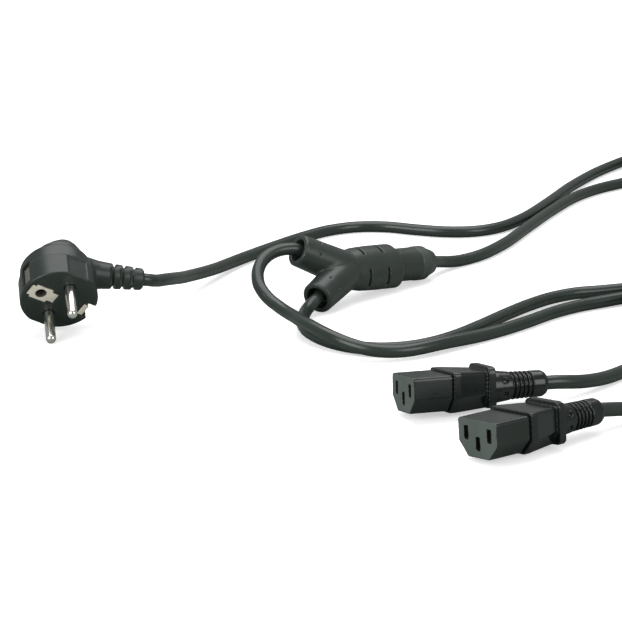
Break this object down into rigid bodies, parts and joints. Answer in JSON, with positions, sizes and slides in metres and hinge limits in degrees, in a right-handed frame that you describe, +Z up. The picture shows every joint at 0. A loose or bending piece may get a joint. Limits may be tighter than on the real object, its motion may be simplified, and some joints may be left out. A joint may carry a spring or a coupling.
{
  "type": "power cord splitter",
  "caption": "Mains power cord splitter: an angled earthed plug on a trunk cord, a moulded Y splitter and branch cords that end in moulded appliance connectors.",
  "frame": {"origin": "on the surface that the lead lies on, under the middle of the bounding box of the plug, splitter and connectors, without the cords", "axes": "+Z up from the surface, +X to the right and +Y away as the lead is usually seen, with the plug on the left and the connectors nearest"},
  "size_m": [0.4616, 0.5961, 0.0446],
  "materials": {
    "plug_plastic": "satin moulded PVC, greenish black",
    "splitter_plastic": "satin moulded PVC, dark grey",
    "connector_plastic": "glossy moulded PVC, black",
    "insert_plastic": "fine-grained rigid plastic, dark grey green",
    "inner_plastic": "rigid ivory plastic, out of sight",
    "nickel": "polished nickel plate on brass",
    "pale_nickel": "matte nickel plated sheet",
    "contact_brass": "bare rolled brass",
    "cord_sheath": "satin flexible PVC, greenish black",
    "tie_band": "soft matte black band",
    "core_line": "brown PVC insulation",
    "core_neutral": "blue PVC insulation",
    "core_earth": "green and yellow PVC insulation"
  },
  "bodies": {
    "root": {"plug_body": "plug_plastic", "plug_pin_carrier": "inner_plastic", "plug_pin_line": "nickel", "plug_pin_neutral": "nickel", "plug_earth_contact": "pale_nickel", "plug_earth_clip": "pale_nickel", "plug_core_line": "core_line", "plug_core_earth": "core_earth", "plug_core_neutral": "core_neutral", "splitter_body": "splitter_plastic", "splitter_block": "inner_plastic", "splitter_crimp_line": "contact_brass", "splitter_crimp_earth": "contact_brass", "splitter_crimp_neutral": "contact_brass", "splitter_core_trunk_line": "core_line", "splitter_core_trunk_earth": "core_earth", "splitter_core_trunk_neutral": "core_neutral", "splitter_core_a_line": "core_line", "splitter_core_a_earth": "core_earth", "splitter_core_a_neutral": "core_neutral", "splitter_core_b_line": "core_line", "splitter_core_b_earth": "core_earth", "splitter_core_b_neutral": "core_neutral", "connector_a_insert": "insert_plastic", "connector_a_body": "connector_plastic", "connector_a_contact_line": "contact_brass", "connector_a_contact_earth": "contact_brass", "connector_a_contact_neutral": "contact_brass", "connector_a_core_line": "core_line", "connector_a_core_earth": "core_earth", "connector_a_core_neutral": "core_neutral", "connector_b_insert": "insert_plastic", "connector_b_body": "connector_plastic", "connector_b_contact_line": "contact_brass", "connector_b_contact_earth": "contact_brass", "connector_b_contact_neutral": "contact_brass", "connector_b_core_line": "core_line", "connector_b_core_earth": "core_earth", "connector_b_core_neutral": "core_neutral", "trunk_cord_plug_run": "cord_sheath", "trunk_cord_splitter_run": "cord_sheath", "trunk_cord_coil": "cord_sheath", "trunk_cord_tie": "tie_band", "branch_a_splitter_run": "cord_sheath", "branch_a_connector_run": "cord_sheath", "branch_a_coil": "cord_sheath", "branch_a_tie": "tie_band", "branch_b_splitter_run": "cord_sheath", "branch_b_connector_run": "cord_sheath", "branch_b_coil": "cord_sheath", "branch_b_tie": "tie_band"}
  },
  "joints": []
}
